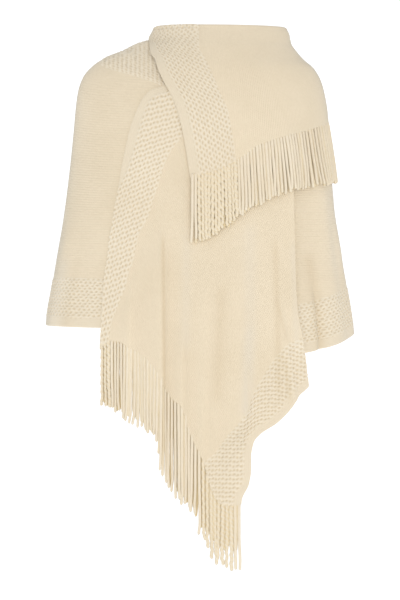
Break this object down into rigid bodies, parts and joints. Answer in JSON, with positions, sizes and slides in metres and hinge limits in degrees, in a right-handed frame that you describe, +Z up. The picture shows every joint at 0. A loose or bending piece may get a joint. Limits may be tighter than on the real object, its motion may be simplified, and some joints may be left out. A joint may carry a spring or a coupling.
{
  "type": "knitted poncho sweater",
  "caption": "Knitted wrap poncho sweater with basket-stitch borders, a turned-over collar flap and long cord fringes, held in its worn hollow form.",
  "frame": {"origin": "Middle of the neck opening, level with the tops of the shoulders.", "axes": "+Z up along the wearer's height, front faces -Y, +X on the right of someone who looks at the front."},
  "size_m": [0.57, 0.321, 0.9928],
  "materials": {
    "plain_knit": "matt cream wool, fine plain knit",
    "basket_knit": "matt cream wool, raised basket stitch with a rolled selvedge",
    "fringe_cord": "matt cream wool cords, loosely rolled"
  },
  "bodies": {
    "root": {"right_wing": "plain_knit", "back_panel": "plain_knit", "left_wing": "plain_knit", "right_wing_hem": "basket_knit", "back_hem": "basket_knit", "left_wing_hem": "basket_knit", "neck_border": "basket_knit", "front_panel": "plain_knit", "front_edge_band": "basket_knit", "front_hem_band": "basket_knit", "front_fringe": "fringe_cord", "collar_flap": "plain_knit", "collar_front_band": "basket_knit", "collar_back_band": "basket_knit", "collar_inner": "plain_knit", "collar_fringe": "fringe_cord"}
  },
  "joints": []
}
